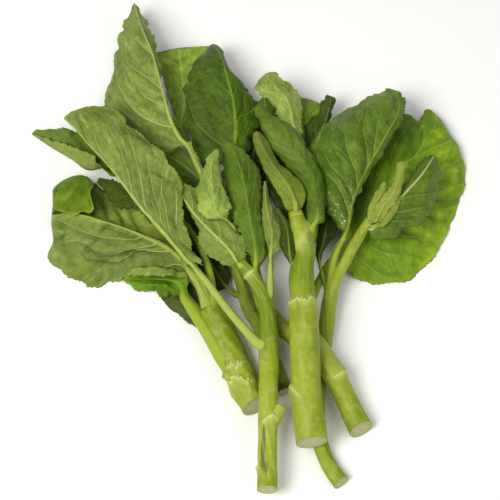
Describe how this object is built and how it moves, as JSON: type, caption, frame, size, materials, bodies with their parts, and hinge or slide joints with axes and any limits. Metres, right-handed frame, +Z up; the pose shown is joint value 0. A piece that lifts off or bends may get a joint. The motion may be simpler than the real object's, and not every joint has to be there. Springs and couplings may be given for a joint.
{
  "type": "bunch of chinese mustard greens",
  "caption": "Loose bunch of Chinese mustard greens lying flat: cut stalks crossed at the bottom, broad leaves and young shoots fanned out at the top.",
  "frame": {"origin": "middle of the bunch's bounding box, on the surface that it lies on", "axes": "+Y from the stalks' cut ends towards the leaf tips, +Z up from the surface, +X to the right of the bunch seen from its cut ends"},
  "size_m": [0.2773, 0.3284, 0.0494],
  "materials": {
    "stalk": "satin waxy skin with fine lengthwise ribs, pale fibrous cut ends",
    "leaf_upper": "smooth slightly glossy dark green upper side with pale sunken veins",
    "leaf_under": "matt greyish pale green underside with raised pale veins",
    "young_leaf": "matt pale yellow-green young leaf"
  },
  "bodies": {
    "root": {"centre_stalk": "stalk", "front_stalk": "stalk", "back_stalk": "stalk", "right_stalk": "stalk", "left_stalk": "stalk", "under_stalk": "stalk", "bud_leaf_long": "young_leaf", "bud_leaf_left": "young_leaf", "bud_leaf_right": "young_leaf", "front_left_leaf": "leaf_under", "front_small_leaf": "leaf_under", "small_pale_leaf": "leaf_under", "sheath_leaf": "leaf_under", "rolled_leaf": "leaf_upper", "front_curled_leaf": "leaf_under", "dark_hanging_leaf": "leaf_upper", "centre_leaf": "leaf_upper", "right_leaf": "leaf_upper", "right_small_leaf": "leaf_upper", "top_pale_leaf": "leaf_under", "tucked_leaf": "leaf_upper", "lower_left_leaf": "leaf_under", "curled_leaf": "leaf_upper", "shaded_left_leaf": "leaf_upper", "far_left_leaf": "leaf_under", "top_left_leaf": "leaf_under", "top_leaf": "leaf_upper", "narrow_back_leaf": "leaf_upper", "big_right_leaf": "leaf_upper", "back_bright_leaf": "leaf_upper", "shade_leaf_right": "leaf_upper", "shade_leaf_back": "leaf_under", "shade_leaf_middle": "leaf_upper", "shade_leaf_centre": "leaf_upper", "shade_leaf_front": "leaf_upper", "top_back_leaf": "leaf_under", "lowest_leaf": "leaf_under"}
  },
  "joints": []
}
